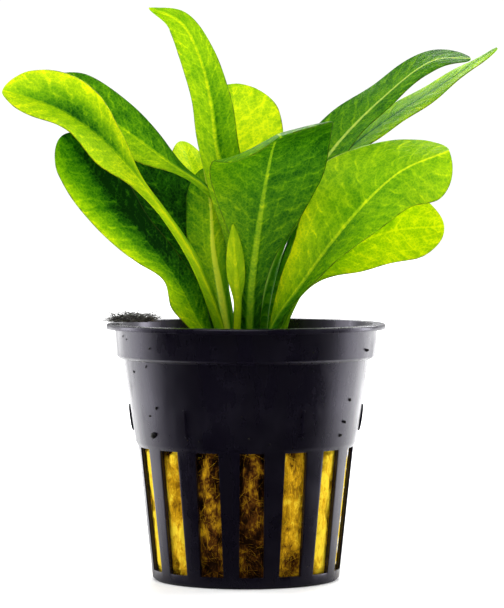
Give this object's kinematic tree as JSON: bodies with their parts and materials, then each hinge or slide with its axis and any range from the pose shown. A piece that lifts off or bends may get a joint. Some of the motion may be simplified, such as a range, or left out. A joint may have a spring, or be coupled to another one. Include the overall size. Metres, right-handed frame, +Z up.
{
  "type": "potted aquarium plant",
  "caption": "Rosette of broad spoon-shaped green leaves growing from a crown in mineral wool, in a round tapered black pot with a lip and a slotted cage.",
  "frame": {"origin": "centre of the pot's underside, on the surface that it stands on", "axes": "+Z up along the pot's axis, -Y the front, +X to the right as seen from the front"},
  "size_m": [0.097, 0.0651, 0.1118],
  "materials": {
    "pot_plastic": "smooth moulded black plastic with a faint violet cast, semi-gloss",
    "mineral_wool": "golden brown matted fibre, damp and dark in the hollows",
    "crown": "pale green fleshy rootstock, satin",
    "root_fibre": "dark matted root fibres, matt",
    "leaf": "fresh green leaf, satin and a little see-through, with paler veins"
  },
  "bodies": {
    "root": {"net_pot": "pot_plastic", "wool_plug": "mineral_wool", "crown": "crown", "root_tuft": "root_fibre", "leaf_arching_left": "leaf", "leaf_shaded_left": "leaf", "leaf_low_left": "leaf", "leaf_inner_left": "leaf", "leaf_centre_left": "leaf", "leaf_tall": "leaf", "leaf_newest": "leaf", "leaf_front": "leaf", "leaf_broad_right": "leaf", "leaf_low_right": "leaf", "leaf_upper_right": "leaf", "leaf_long_right": "leaf", "leaf_back_round": "leaf", "leaf_back_small": "leaf", "leaf_back_left": "leaf", "leaf_back": "leaf", "leaf_back_right": "leaf"}
  },
  "joints": []
}
